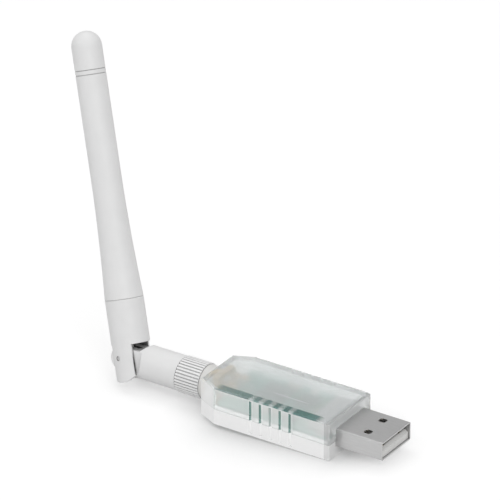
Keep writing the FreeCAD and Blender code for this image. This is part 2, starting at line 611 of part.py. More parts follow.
# mast fork: two ears round the tongue, flat in front, round below
fork_round = turned("fork_round", [
    ("0", "0 - ear_radius - 0.5"), ("fork_radius", "0 - ear_radius - 0.5"),
    ("fork_radius", "seam_height - seam_bevel"), ("fork_radius - seam_bevel", "seam_height"),
    ("spigot_radius", "seam_height"), ("spigot_radius", "seam_height + spigot_long"),
    ("0", "seam_height + spigot_long")], axis="V_Axis")
fork_slot = box("fork_slot", ("-7", "7"), ("0 - slot_half", "slot_half"), ("-9", "slot_top"))
ear_front = box("ear_front", ("ear_flat", "7"), ("-7", "7"), ("-9", "slot_top"))
fork_pin_hole = rod("fork_pin_hole", "y", "-7", "7", "hinge_pin_radius + hinge_gap",
                    ("0 - mast_offset", "0"))
fork_cable_hole = rod("fork_cable_hole", "z", "0", "seam_height + spigot_long + 1",
                      "cable_radius + 0.1")
fork_hollow = box("fork_hollow", ("0 - hollow_half", "hollow_half"), ("0 - hollow_half", "hollow_half"),
                  ("slot_top - 0.1", "hollow_top"))
fork_cut = carved("fork_cut", fork_round, fork_slot, ear_front, fork_pin_hole, fork_cable_hole,
                  fork_hollow)
ear_round = rod("ear_round", "y", "-7", "7", "ear_radius", ("0 - mast_offset", "0"))
above_pin = box("above_pin", ("-7", "7"), ("-7", "7"), ("0", "seam_height + spigot_long + 1"))
ear_limit = united("ear_limit", ear_round, above_pin)
fork = shared("antenna_fork", fork_cut, ear_limit)
bind(fork, "Placement", MAST)
nodes["antenna_fork"] = fork
nodes["hinge_pin"] = rod("hinge_pin", "y", "0 - hinge_pin_half", "hinge_pin_half",
                         "hinge_pin_radius", ("0 - mast_offset", "0"), frame=MAST)

# mast tube: wide at the fork, drawn in by one long arc to a slim cylinder
nodes["mast_tube"] = turned("mast_tube", [
    ("tube_bore", "seam_height"), ("fork_radius - seam_bevel", "seam_height"),
    ("fork_radius", "seam_height + seam_bevel"), ("mast_radius", "blend_height"),
    ("mast_radius", "cap_height - cap_bevel"), ("mast_radius - cap_bevel", "cap_height"),
    ("tube_bore", "cap_height")], axis="V_Axis", frame=MAST, arc=2)

# rounded tip, plugged into the tube
cap_turned = turned("cap_turned", [
    ("0", "cap_height - cap_spigot"), ("tube_bore - fit_gap", "cap_height - cap_spigot"),
    ("tube_bore - fit_gap", "cap_height"), ("mast_radius - cap_bevel", "cap_height"),
    ("mast_radius", "cap_height + cap_bevel"), ("mast_radius", "cap_height + band_gap"),
    ("mast_radius - band_deep", "cap_height + band_gap + band_width / 2"),
    ("mast_radius", "cap_height + band_gap + band_width"),
    ("mast_radius", "dome_height"), ("0", "dome_height")], axis="V_Axis")
dome = doc.addObject("Part::Sphere", "cap_dome")
bind(dome, "Radius", "mast_radius")
bind(dome, "Placement.Base.z", "dome_height")
tip_cap = united("tip_cap", cap_turned, dome)
bind(tip_cap, "Placement", MAST)
nodes["tip_cap"] = tip_cap

# radiator: cable up the middle, brass sleeve round it, bare wire above
nodes["coax_upper"] = rod("coax_upper", "z", "cable_low", "cable_high", "cable_radius", frame=MAST)
nodes["radiator_sleeve"] = turned("radiator_sleeve", [
    ("sleeve_radius - sleeve_sheet", "sleeve_low"), ("sleeve_radius", "sleeve_low"),
    ("sleeve_radius", "sleeve_high"), ("cable_radius + 0.02", "sleeve_high"),
    ("cable_radius + 0.02", "sleeve_high - sleeve_sheet"),
    ("sleeve_radius - sleeve_sheet", "sleeve_high - sleeve_sheet")], axis="V_Axis", frame=MAST)
nodes["radiator_wire"] = rod("radiator_wire", "z", "cable_high", "wire_top", "wire_radius", frame=MAST)

doc.recompute()
for item in doc.Objects:
    if "Invalid" in item.State or "Error" in item.State:
        raise RuntimeError("%s did not build: %s" % (item.Name, item.State))

os.makedirs("parts", exist_ok=True)
for name, item in nodes.items():
    item.Label = name
    shape = item.Shape
    if shape.isNull() or not shape.isValid() or len(shape.Solids) != 1:
        raise RuntimeError("%s is not one sound solid (%d)" % (name, len(shape.Solids)))
    shape.exportStep("parts/%s.step" % name)
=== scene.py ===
import json
import math

import bmesh
import bpy
from mathutils import Matrix, Vector


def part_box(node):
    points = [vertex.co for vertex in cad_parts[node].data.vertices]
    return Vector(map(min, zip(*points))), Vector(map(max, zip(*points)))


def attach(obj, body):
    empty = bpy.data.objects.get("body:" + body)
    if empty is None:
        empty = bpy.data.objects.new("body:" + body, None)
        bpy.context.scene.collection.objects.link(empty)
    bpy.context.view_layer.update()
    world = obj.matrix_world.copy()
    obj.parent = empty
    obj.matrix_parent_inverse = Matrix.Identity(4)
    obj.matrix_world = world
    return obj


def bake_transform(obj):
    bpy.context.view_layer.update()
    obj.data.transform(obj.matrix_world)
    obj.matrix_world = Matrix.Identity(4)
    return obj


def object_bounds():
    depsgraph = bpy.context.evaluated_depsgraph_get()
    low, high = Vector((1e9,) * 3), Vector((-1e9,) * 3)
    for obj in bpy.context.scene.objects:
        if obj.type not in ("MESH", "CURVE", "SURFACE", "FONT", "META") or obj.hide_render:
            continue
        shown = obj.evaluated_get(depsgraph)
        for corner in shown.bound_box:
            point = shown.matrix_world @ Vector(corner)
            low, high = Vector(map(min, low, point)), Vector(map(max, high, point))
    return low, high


MM = 0.001
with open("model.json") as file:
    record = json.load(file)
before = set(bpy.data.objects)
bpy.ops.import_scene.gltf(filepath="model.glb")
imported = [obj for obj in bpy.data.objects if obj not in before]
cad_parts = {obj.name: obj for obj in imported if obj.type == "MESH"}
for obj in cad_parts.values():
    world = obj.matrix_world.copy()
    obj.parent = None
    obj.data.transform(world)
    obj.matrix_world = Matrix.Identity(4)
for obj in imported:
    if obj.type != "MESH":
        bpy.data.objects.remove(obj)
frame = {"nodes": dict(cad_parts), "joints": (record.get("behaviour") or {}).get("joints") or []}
nodes = frame["nodes"]
cad_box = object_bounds()
scene = bpy.context.scene

# places on the housing that the materials go by, in the object's own frame
house_front, house_half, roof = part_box("housing_cover")[1]
house_back, _, seam_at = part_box("housing_cover")[0]
GROOVE_STEP = 2.65 * MM
groove_at = house_front - 15.7 * MM

# numbers of the colour sockets of a Mix node
MIX_A, MIX_B, MIX_RESULT = 6, 7, 2
# most of a noise texture lies in this span
NOISE_LOW, NOISE_HIGH = 0.3, 0.7
SHELTER_SAMPLES, BEVEL_SAMPLES = 8, 6


# shader helpers

def new_material(name):
    mat = bpy.data.materials.new(name)
    mat.use_nodes = True
    tree = mat.node_tree
    tree.nodes.clear()
    out = tree.nodes.new("ShaderNodeOutputMaterial")
    shader = tree.nodes.new("ShaderNodeBsdfPrincipled")
    tree.links.new(shader.outputs["BSDF"], out.inputs["Surface"])
    return mat, tree, shader, out


def feed(tree, value, socket):
    # a number is set on the socket, and another node's output is linked to it
    if isinstance(value, (int, float)):
        socket.default_value = value
    else:
        tree.links.new(value, socket)


def place_in_object(tree, stretch=(1, 1, 1)):
    coords = tree.nodes.new("ShaderNodeTexCoord")
    place = tree.nodes.new("ShaderNodeMapping")
    place.inputs["Scale"].default_value = stretch
    tree.links.new(coords.outputs["Object"], place.inputs["Vector"])
    return place.outputs["Vector"]


def noise(tree, vector, scale, detail=3.0, rough=0.5):
    tex = tree.nodes.new("ShaderNodeTexNoise")
    tex.inputs["Scale"].default_value = scale
    tex.inputs["Detail"].default_value = detail
    tex.inputs["Roughness"].default_value = rough
    tree.links.new(vector, tex.inputs["Vector"])
    return tex.outputs["Fac"]


def remap(tree, value, low, high, start=0.0, end=1.0):
    # low at start and before it, high at end and after it
    node = tree.nodes.new("ShaderNodeMapRange")
    node.inputs["From Min"].default_value = start
    node.inputs["From Max"].default_value = end
    node.inputs["To Min"].default_value = low
    node.inputs["To Max"].default_value = high
    tree.links.new(value, node.inputs["Value"])
    return node.outputs["Result"]


def maths(tree, operation, first, second=0.0):
    node = tree.nodes.new("ShaderNodeMath")
    node.operation = operation
    feed(tree, first, node.inputs[0])
    feed(tree, second, node.inputs[1])
    return node.outputs[0]


def product(tree, first, *others):
    for other in others:
        first = maths(tree, "MULTIPLY", first, other)
    return first


def above(tree, value, level):
    return maths(tree, "GREATER_THAN", value, level)


def below(tree, value, level):
    return maths(tree, "LESS_THAN", value, level)


def larger(tree, first, second):
    return maths(tree, "MAXIMUM", first, second)


def size_of(tree, value):
    return maths(tree, "ABSOLUTE", value)


def away_from(tree, value, spot):
    return size_of(tree, maths(tree, "SUBTRACT", value, spot))


def between(tree, value, low, high, soft):
    # 1 between low and high, fading to 0 over soft outside them
    half = (high - low) / 2
    return remap(tree, away_from(tree, value, (low + high) / 2), 1.0, 0.0, half, half + soft)


def mix_colour(tree, value, first, second):
    node = tree.nodes.new("ShaderNodeMix")
    node.data_type = "RGBA"
    node.inputs[MIX_A].default_value = (*first, 1)
    node.inputs[MIX_B].default_value = (*second, 1)
    tree.links.new(value, node.inputs[0])
    return node.outputs[MIX_RESULT]


def tinted(tree, colour, mask, tone):
    # the colour multiplied by the tone where the mask is 1
    node = tree.nodes.new("ShaderNodeMix")
    node.data_type = "RGBA"
    node.blend_type = "MULTIPLY"
    node.inputs[MIX_B].default_value = (*tone, 1)
    tree.links.new(mask, node.inputs[0])
    tree.links.new(colour, node.inputs[MIX_A])
    return node.outputs[MIX_RESULT]


def bump(tree, shader, height, strength, distance, under=None):
    node = tree.nodes.new("ShaderNodeBump")
    feed(tree, strength, node.inputs["Strength"])
    node.inputs["Distance"].default_value = distance
    tree.links.new(height, node.inputs["Height"])
    if under is not None:
        tree.links.new(under, node.inputs["Normal"])
    tree.links.new(node.outputs["Normal"], shader.inputs["Normal"])
    return node.outputs["Normal"]


def openness(tree, reach):
    # 1 in the open, less where other surfaces lie within reach
    node = tree.nodes.new("ShaderNodeAmbientOcclusion")
    node.samples = SHELTER_SAMPLES
    node.inputs["Distance"].default_value = reach
    return node.outputs["AO"]


def split(tree, vector):
    node = tree.nodes.new("ShaderNodeSeparateXYZ")
    tree.links.new(vector, node.inputs[0])
    return node.outputs


def srgb(*values):
    # linear colour for levels from 0 to 255
    return tuple((v / 255 / 12.92) if v <= 10 else ((v / 255 + 0.055) / 1.055) ** 2.4 for v in values)


def grey(level):
    return srgb(level, level, level)


# materials

def grained(name, dark, light, rough, grain, depth, strength, metallic=0.0, stretch=(1, 1, 1),
            edge=0.06 * MM, patch=300, crevice=None):
    # colour in broad patches, roughness and bump in fine grain, rounded edges, and painted shade that
    # darkens crevices and hollows
    mat, tree, shader, out = new_material(name)
    vector = place_in_object(tree, stretch)
    fine = noise(tree, vector, grain)
    broad = noise(tree, vector, patch, detail=2.0)
    colour = mix_colour(tree, broad, dark, light)
    # painted shade: the colour darkens where other surfaces lie close round it
    if crevice:
        deep = remap(tree, openness(tree, crevice["reach"]), 1.0, 0.0, crevice["dark_at"],
                     crevice["clear_at"])
        colour = tinted(tree, colour, deep, (crevice["tone"],) * 3)
    tree.links.new(colour, shader.inputs["Base Color"])
    uneven = remap(tree, fine, rough[0], rough[1], NOISE_LOW, NOISE_HIGH)
    tree.links.new(uneven, shader.inputs["Roughness"])
    shader.inputs["Metallic"].default_value = metallic
    shader.inputs["Specular IOR Level"].default_value = 0.5
    round_off = tree.nodes.new("ShaderNodeBevel")
    round_off.samples = BEVEL_SAMPLES
    round_off.inputs["Radius"].default_value = edge
    normal = bump(tree, shader, fine, strength, depth, round_off.outputs["Normal"])
    return mat, tree, shader, normal


def skin(name, dark, light, **values):
    return grained(name, dark, light, **values)[0]


def threaded(name, dark, light, pitch):
    # a screw thread as bump: one turn of the crest for each pitch along X
    thread_foot, thread_deep = 3.1 * MM, 0.6 * pitch
    mat, tree, shader, normal = grained(name, dark, light, rough=(0.25, 0.4), grain=1500,
                                        depth=0.000003, strength=0.2, metallic=1.0)
    x, y, z = split(tree, place_in_object(tree))
    turn = maths(tree, "DIVIDE", maths(tree, "ARCTAN2", z, y), 2 * math.pi)
    wave = maths(tree, "PINGPONG", maths(tree, "ADD", maths(tree, "DIVIDE", x, pitch), turn), 0.5)
    radius = maths(tree, "SQRT", maths(tree, "ADD", product(tree, y, y), product(tree, z, z)))
    outer = above(tree, radius, thread_foot)
    barrel = below(tree, x, house_back)
    bump(tree, shader, product(tree, wave, outer, barrel), 1.0, thread_deep, normal)
    return mat


def folded_steel(name, dark, light):
    # drawn sheet, brushed along X, with the folded seam down the middle of its underside
    groove_half, groove_edge, groove_deep = 0.02 * MM, 0.10 * MM, 0.12 * MM
    underside, brushed = -2.2 * MM, (1, 12, 12)
    mat, tree, shader, normal = grained(name, dark, light, rough=(0.3, 0.44), grain=1500,
                                        depth=0.000004, strength=0.2, metallic=1.0,
                                        stretch=brushed)
    x, y, z = split(tree, place_in_object(tree))
    near_seam = remap(tree, size_of(tree, y), 1.0, 0.0, groove_half, groove_edge)
    bump(tree, shader, product(tree, near_seam, below(tree, z, underside)), 1.0, -groove_deep, normal)
    return mat


def rim_reflection_mask(tree, x, y, on_roof):
    # painted reflection of the board: a strip along the roof's near edge, broken at the grip grooves,
    # stronger towards the plug
    width, soft = 2.1 * MM, 0.3 * MM
    start, end, fade = house_front - 29.5 * MM, house_front - 3.9 * MM, 1.6 * MM
    full_from, weak = house_front - 12 * MM, 0.78
    gap_level, gap_half, gap_edge = 0.45, 0.3 * MM, 0.9 * MM
    groove_span = 2.5 * GROOVE_STEP
    strip = between(tree, y, -house_half, -house_half + width, soft)
    run = between(tree, x, start, end, fade)
    off_groove = maths(tree, "PINGPONG", maths(tree, "SUBTRACT", x, groove_at), GROOVE_STEP / 2)
    beside = above(tree, away_from(tree, x, groove_at), groove_span)
    broken = larger(tree, remap(tree, off_groove, gap_level, 1.0, gap_half, gap_edge), beside)
    growing = remap(tree, x, weak, 1.0, start, full_from)
    return product(tree, strip, run, on_roof, broken, growing)


def flank_reflection_mask(tree, x, ahead, outside):
    # painted reflection of the board in the sides of the grip grooves that face the plug, half as strong
    # in the middle groove
    to_plug, housing_end = 0.3, house_front - 4 * MM
    middle_share, middle_half, middle_edge = 0.5, 0.6 * MM, 1.4 * MM
    stronger = remap(tree, away_from(tree, x, groove_at), middle_share, 1.0, middle_half, middle_edge)
    return product(tree, above(tree, ahead, to_plug), below(tree, x, housing_end), stronger, outside)


def groove_haze(tree, x, ahead, outside):
    # the wall between the grooves and their other sides are milky
    reach, soft = 6 * MM, 0.1 * MM
    not_to_plug, turned_away, nearly_flat = 0.12, -0.3, -0.02
    milky, thinner = 0.95, 0.52
    among = between(tree, x, groove_at - reach, groove_at + reach, soft)
    graded = remap(tree, ahead, milky, thinner, turned_away, nearly_flat)
    return product(tree, below(tree, ahead, not_to_plug), outside, among, graded)


def scratch_haze(tree, x, y, on_roof):
    # one fine scratch along the roof
    start, end, fade = house_front - 18.1 * MM, house_front - 9.9 * MM, 0.8 * MM
    near, far, soft = -3.25 * MM, -3.15 * MM, 0.05 * MM
    strength = 0.6
    along = between(tree, x, start, end, fade)
    across = between(tree, y, near, far, soft)
    return product(tree, along, across, on_roof, strength)


def clear_plastic(name, wall_colour, flat_shade_colour, haze, grooved):
    # level goes from upright walls to flats; it steers the colour, the haze and the roughness. The flats'
    # greyer colour is painted shade that darkens the roof
    wall_level, flat_level = 0.5, 0.9
    end_thick, chamfer_turn, end_wall_shade_tone = 1.4 * MM, -0.3, (0.84, 0.84, 0.84)
    facing_up, roof_thick, groove_deep = 0.6, 0.3 * MM, 0.7 * MM
    # tones of the painted reflection of the board
    rim_reflection_tone, flank_reflection_tone = (0.06, 0.19, 0.17), (0.12, 0.25, 0.22)
    seam_half, seam_soft, seam_haze, seam_lift = 0.05 * MM, 0.02 * MM, 0.9, 0.5
    smooth_walls, satin_flats, rough_by = 0.1, 0.22, 0.01
    refraction, lamp_tint = 1.45, (0.98, 0.985, 0.985, 1)
    fine_grain, cloud_grain, mottled_low, mottled_high = 900, 120, 0.15, 0.4
    frost_grain, frost_deep = 5000, 0.00006
    mat, tree, shader, out = new_material(name)
    vector = place_in_object(tree)
    facing = tree.nodes.new("ShaderNodeTexCoord")
    x, y, z = split(tree, vector)
    ahead, aside, lift = split(tree, facing.outputs["Normal"])
    level = remap(tree, size_of(tree, lift), 0.0, 1.0, wall_level, flat_level)
    end_wall = above(tree, x, house_front - end_thick)
    chamfer = below(tree, ahead, chamfer_turn)
    cloudy = product(tree, remap(tree, level, haze["walls"], haze["flats"]),
                     remap(tree, end_wall, 1.0, haze["end"] / haze["walls"]),
                     remap(tree, chamfer, 1.0, haze["chamfers"] / haze["walls"]))
    tint = mix_colour(tree, level, wall_colour, flat_shade_colour)
    if grooved:
        # painted reflection of the board: its teal painted into the roof's near rim and into the sides of
        # the grip grooves
        on_roof = product(tree, above(tree, lift, facing_up), above(tree, z, roof - roof_thick))
        outside = below(tree, y, groove_deep - house_half)
        tint = tinted(tree, tint, rim_reflection_mask(tree, x, y, on_roof), rim_reflection_tone)
        tint = tinted(tree, tint, flank_reflection_mask(tree, x, ahead, outside), flank_reflection_tone)
        cloudy = larger(tree, cloudy, groove_haze(tree, x, ahead, outside))
        cloudy = larger(tree, cloudy, scratch_haze(tree, x, y, on_roof))
    seam = product(tree, between(tree, z, seam_at - seam_half, seam_at + seam_half, seam_soft),
                   above(tree, size_of(tree, lift), seam_lift), seam_haze)
    cloudy = larger(tree, cloudy, seam)
    # painted shade: the end wall by the plug is tinted darker
    tint = tinted(tree, tint, end_wall, end_wall_shade_tone)
    tree.links.new(tint, shader.inputs["Base Color"])
    tree.links.new(maths(tree, "SUBTRACT", 1.0, cloudy), shader.inputs["Transmission Weight"])
    mottled = product(tree, noise(tree, vector, fine_grain), noise(tree, vector, cloud_grain, 2.0))
    grain = remap(tree, mottled, -rough_by, rough_by, mottled_low, mottled_high)
    satin = remap(tree, level, smooth_walls, satin_flats)
    tree.links.new(maths(tree, "ADD", satin, grain), shader.inputs["Roughness"])
    shader.inputs["IOR"].default_value = refraction
    bump(tree, shader, noise(tree, vector, frost_grain, 1.0), level, frost_deep)
    # light passes on its way to the lamps, so that the board inside is lit
    rays = tree.nodes.new("ShaderNodeLightPath")
    through = tree.nodes.new("ShaderNodeBsdfTransparent")
    through.inputs["Color"].default_value = lamp_tint
    pick = tree.nodes.new("ShaderNodeMixShader")
    tree.links.new(rays.outputs["Is Shadow Ray"], pick.inputs[0])
    tree.links.new(shader.outputs["BSDF"], pick.inputs[1])
    tree.links.new(through.outputs["BSDF"], pick.inputs[2])
    tree.links.new(pick.outputs["Shader"], out.inputs["Surface"])
    return mat


# painted shade in crevices and hollows, set by reach, the openness that is fully dark, the openness that
# is clear, and the dark tone
MOULDED = dict(rough=(0.42, 0.55), grain=3500, depth=0.000008, strength=0.25)
# painted shade in the grooves and seams of the mast and tip
antenna = skin("antenna_plastic", grey(229), grey(235), **MOULDED, edge=0.12 * MM,
               crevice=dict(reach=0.8 * MM, dark_at=0.3, clear_at=0.85, tone=0.12))
# painted shade in the grooves of the knurled grip
ribbed = skin("ribbed_plastic", grey(239), grey(245), **MOULDED, edge=0.05 * MM,
              crevice=dict(reach=0.8 * MM, dark_at=0.25, clear_at=0.7, tone=0.36))
# painted shade: the fork's slot and the hinge's gaps go near black
hinge = skin("hinge_plastic", grey(229), grey(235), **MOULDED, edge=0.15 * MM,
             crevice=dict(reach=3.0 * MM, dark_at=0.36, clear_at=0.68, tone=0.01))
# painted shade: the pin's end darkens round its hole
pin_end = skin("pin_steel", grey(206), grey(218), rough=(0.3, 0.4), grain=2500, depth=0.000003,
               strength=0.2, crevice=dict(reach=0.4 * MM, dark_at=0.2, clear_at=0.7, tone=0.1))
steel = folded_steel("plug_steel", grey(182), grey(198))
DARK_BRASS, LIGHT_BRASS = srgb(196, 164, 104), srgb(214, 184, 124)
thread_brass = threaded("jack_brass", DARK_BRASS, LIGHT_BRASS, 0.706 * MM)
brass = skin("ferrule_brass", DARK_BRASS, LIGHT_BRASS, rough=(0.25, 0.4), grain=1500,
             depth=0.000003, strength=0.2, metallic=1.0)
gold = skin("gold_brass", srgb(220, 188, 110), srgb(232, 202, 130), rough=(0.18, 0.3), grain=1200,
            depth=0.000002, strength=0.15, metallic=1.0)
collar = skin("collar_metal", srgb(213, 212, 210), srgb(223, 222, 220), rough=(0.35, 0.45),
              grain=2500, depth=0.000003, strength=0.15)
board_green = skin("board_mask", srgb(38, 128, 112), srgb(52, 146, 128), rough=(0.3, 0.45),
                   grain=1800, depth=0.000006, strength=0.2)
track_green = skin("board_track", srgb(66, 160, 138), srgb(78, 172, 148), rough=(0.28, 0.4),
                   grain=1800, depth=0.000004, strength=0.2)
solder = skin("solder_tin", srgb(186, 186, 184), srgb(206, 206, 204), rough=(0.2, 0.35),
              grain=1800, depth=0.000006, strength=0.3, metallic=1.0)
ink = skin("board_ink", srgb(228, 228, 222), srgb(238, 238, 232), rough=(0.5, 0.65), grain=4000,
           depth=0.000004, strength=0.3)
chip = skin("chip_grey", srgb(56, 84, 80), srgb(66, 96, 92), rough=(0.5, 0.65), grain=5000,
            depth=0.000006, strength=0.3)
can = skin("can_metal", srgb(190, 188, 182), srgb(205, 203, 198), rough=(0.25, 0.35), grain=2000,
           depth=0.000003, strength=0.2, metallic=1.0)
ceramic = skin("ceramic_tan", srgb(176, 150, 118), srgb(190, 166, 134), rough=(0.45, 0.6),
               grain=3000, depth=0.000004, strength=0.2)
white_ceramic = skin("ceramic_white", srgb(222, 222, 216), srgb(232, 232, 228), rough=(0.4, 0.5),
                     grain=3000, depth=0.000004, strength=0.2)
insulator = skin("white_insulator", srgb(230, 230, 226), srgb(238, 238, 234), rough=(0.4, 0.5),
                 grain=2000, depth=0.000003, strength=0.15)
tongue = skin("tongue_white", srgb(221, 221, 219), srgb(227, 227, 225), rough=(0.4, 0.5),
              grain=2500, depth=0.000004, strength=0.15)
cable = skin("cable_white", srgb(226, 226, 222), srgb(236, 236, 232), rough=(0.35, 0.45),
             grain=2500, depth=0.000003, strength=0.15)
lens = skin("led_lens", srgb(232, 232, 216), srgb(240, 240, 226), rough=(0.15, 0.25), grain=1500,
            depth=0.000002, strength=0.1)
copper = skin("wire_copper", srgb(200, 126, 84), srgb(214, 140, 96), rough=(0.25, 0.35),
              grain=2500, depth=0.000003, strength=0.2, metallic=1.0)
# the flats' colour, greyer than the walls, is painted shade on the roof
clear_cover = clear_plastic("clear_cover", (0.98, 0.987, 0.985), (0.84, 0.86, 0.86),
                            dict(walls=0.4, flats=0.25, end=0.3, chamfers=0.8), grooved=True)
clear_tray = clear_plastic("clear_tray", (0.99, 0.99, 0.99), (0.97, 0.97, 0.97),
                           dict(walls=1.1, flats=0.15, end=0.9, chamfers=1.4), grooved=False)

LOOKS = {
    "housing_cover": clear_cover, "housing_tray": clear_tray, "circuit_board": board_green,
    "radio_chip": chip, "bridge_chip": chip, "radio_crystal": can, "voltage_regulator": chip,
    "supply_capacitor": ceramic, "core_capacitor": ceramic, "radio_capacitor": ceramic,
    "match_inductor": white_ceramic, "match_capacitor": ceramic, "led_resistor": chip,
    "status_led": lens, "antenna_jack": thread_brass, "jack_insulator": insulator,
    "jack_contact": gold, "usb_shell": steel, "usb_tongue": tongue, "usb_contact_supply": gold,
    "usb_contact_minus": gold, "usb_contact_plus": gold, "usb_contact_ground": gold,
    "retaining_ring": brass, "coupling_nut": collar, "knurled_grip": ribbed,
    "swivel_base": hinge, "plug_ferrule": brass, "plug_insulator": insulator, "plug_pin": gold,
    "coax_lower": cable, "antenna_fork": hinge, "hinge_pin": pin_end, "mast_tube": antenna,
    "tip_cap": antenna, "coax_upper": cable, "radiator_sleeve": brass, "radiator_wire": copper,
}
for name, mat in LOOKS.items():
    node = nodes[name]
    node.data.materials.clear()
    node.data.materials.append(mat)


# mesh helpers

def made(name, bm, mat, body, smooth=False):
    mesh = bpy.data.meshes.new(name)
    bmesh.ops.recalc_face_normals(bm, faces=bm.faces)
    bm.to_mesh(mesh)
    bm.free()
    mesh.materials.append(mat)
    for face in mesh.polygons:
        face.use_smooth = smooth
    obj = bpy.data.objects.new(name, mesh)
    scene.collection.objects.link(obj)
    if body:
        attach(obj, body)
    return obj


def skinned(bm, rings):
    # walls between rings of points that have the same count, and a cap on each end
    for one, two in zip(rings, rings[1:]):
        count = len(one)
        for k in range(count):
            bm.faces.new((one[k], one[(k + 1) % count], two[(k + 1) % count], two[k]))
    bm.faces.new(rings[0][::-1])
    bm.faces.new(rings[-1])


def mound(bm, low, high, spread, rise):
    # solder round a leg: wide at the board, drawn in towards the top, corners rounded
    sides, squareness, overlap = 16, 0.35, 0.02 * MM
    rings = []
    for share in (0, 0.25, 0.55, 1):
        grow = spread * (1 - share) ** 2
        middle = [(low[i] + high[i]) / 2 for i in (0, 1)]
        half = [(high[i] - low[i]) / 2 + grow + overlap for i in (0, 1)]
        ring = []
        for k in range(sides):
            angle = 2 * math.pi * (k + 0.5) / sides
            square = [math.copysign(abs(c) ** squareness, c) for c in (math.cos(angle), math.sin(angle))]
            ring.append(bm.verts.new((middle[0] + half[0] * square[0], middle[1] + half[1] * square[1],
                                      low[2] + rise * share)))
        rings.append(ring)
    skinned(bm, rings)


def block(bm, low, high, edge):
    # a box with rounded edges
    corners = bmesh.ops.create_cube(bm, size=1.0)["verts"]
    middle = (Vector(low) + Vector(high)) / 2
    span = Vector(high) - Vector(low)
    for vert in corners:
        vert.co = Vector([middle[i] + vert.co[i] * span[i] for i in range(3)])
    edges = list({e for v in corners for e in v.link_edges})
    bmesh.ops.bevel(bm, geom=edges, offset=edge, segments=2, affect="EDGES", profile=0.6)


def ribbon(bm, route, width, low, high):
    # flat strip along a route of straight runs with mitred corners
    shortest_mitre = 0.3
    rings = []
    for k, (x, y) in enumerate(route):
        before = Vector(route[max(k - 1, 0)])
        after = Vector(route[min(k + 1, len(route) - 1)])
        here = Vector((x, y))
        first = (here - before).normalized() if k else (after - here).normalized()
        second = (after - here).normalized() if k < len(route) - 1 else first
        across = Vector((-(first + second).y, (first + second).x)).normalized()
        reach = width / 2 / max(shortest_mitre, across.dot(Vector((-first.y, first.x))))
        left, right = here + across * reach, here - across * reach
        rings.append([bm.verts.new((p.x, p.y, z)) for p, z in
                      ((left, low), (right, low), (right, high), (left, high))])
    skinned(bm, rings)


def tube(bm, route, radius, sides=20):
    rings = []
    across = Vector((0, 1, 0))
    for k, point in enumerate(route):
        ahead = (route[min(k + 1, len(route) - 1)] - route[max(k - 1, 0)]).normalized()
        side = (across - ahead * across.dot(ahead)).normalized()
        other = ahead.cross(side)
        angles = [2 * math.pi * s / sides for s in range(sides)]
        rings.append([bm.verts.new(point + radius * (math.cos(a) * side + math.sin(a) * other))
                      for a in angles])
    skinned(bm, rings)


# cable across the hinge: it bends between the base's channel and the fork
MAST_LEAN = math.radians(20)
MAST_OFFSET = 1.15 * MM
# the channel's end, from the pivot, and the way it runs
CHANNEL_END = Vector((2.4, 0, 1.115)) * MM
CHANNEL_RUN = Vector((-10.2, 0, 1.15))
FORK_START = Vector((0, 0, 2.5)) * MM
BEND_PULL = 1.1 * MM
BEND_STEPS = 24
BEND_RADIUS = 0.545 * MM

tilt = next(joint for joint in frame["joints"] if joint["name"] == "antenna_tilt")
pivot = Vector(tilt["pos_m"])
swivel = Matrix.Rotation(-math.atan2(tilt["axis"][2], -tilt["axis"][1]), 4, "X")
mast = (swivel @ Matrix.Translation(pivot) @ Matrix.Rotation(-MAST_LEAN, 4, "Y")
        @ Matrix.Translation((MAST_OFFSET, 0, 0)))
start = swivel @ (pivot + CHANNEL_END)
end = mast @ FORK_START
leave = start + (swivel.to_3x3() @ CHANNEL_RUN).normalized() * BEND_PULL
arrive = end - (mast.to_3x3() @ Vector((0, 0, 1))).normalized() * BEND_PULL
route = []
for step in range(BEND_STEPS + 1):
    s = step / BEND_STEPS
    route.append((1 - s) ** 3 * start + 3 * (1 - s) ** 2 * s * leave + 3 * (1 - s) * s ** 2 * arrive
                 + s ** 3 * end)
bm = bmesh.new()
tube(bm, route, BEND_RADIUS)
bend = made("coax_bend", bm, cable, None, smooth=True)
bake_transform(bend)

# circuit board: terminals, solder, tracks and white outlines
board_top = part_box("radio_chip")[0].z
FILM = 0.02 * MM
LEAD_OUT, LEAD_RISE, LEAD_EDGE = 0.18 * MM, 0.22 * MM, 0.03 * MM
LEAD_UNDER_SHARE = 0.3
LEAD_WIDTH_SHARE = 0.28
CAP_SHARE = 0.22
LAMP_CAP_RISE = 0.3 * MM
TRACK_WIDTH, PAIR_WIDTH, FEED_WIDTH, INK_WIDTH = 0.2 * MM, 0.3 * MM, 0.5 * MM, 0.14 * MM


def chip_leads(bm, name, count):
    # a row of leads on each of the four sides
    low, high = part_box(name)
    for across in (0, 1):
        along = 1 - across
        pitch = (high[along] - low[along]) / (count + 1)
        for corner, out_by in ((low, -LEAD_OUT), (high, LEAD_OUT)):
            for k in range(count):
                middle = low[along] + pitch * (k + 1)
                lead_low, lead_high = [0, 0, board_top], [0, 0, board_top + LEAD_RISE]
                lead_low[along] = middle - pitch * LEAD_WIDTH_SHARE
                lead_high[along] = middle + pitch * LEAD_WIDTH_SHARE
                ends = sorted((corner[across] - out_by * LEAD_UNDER_SHARE, corner[across] + out_by))
                lead_low[across], lead_high[across] = ends
                block(bm, lead_low, lead_high, LEAD_EDGE)


def end_caps(bm, name, axis, top):
    # a metal cap with solder at its foot on each end of a small part
    low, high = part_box(name)
    cap = (high[axis] - low[axis]) * CAP_SHARE
    for far_end in (False, True):
        cap_low = [low.x - FILM, low.y - FILM, board_top]
        cap_high = [high.x + FILM, high.y + FILM, top]
        if far_end:
            cap_low[axis] = high[axis] - cap
        else:
            cap_high[axis] = low[axis] + cap
        block(bm, cap_low, cap_high, LEAD_EDGE)
        mound(bm, cap_low, cap_high, spread=0.2 * MM, rise=0.2 * MM)


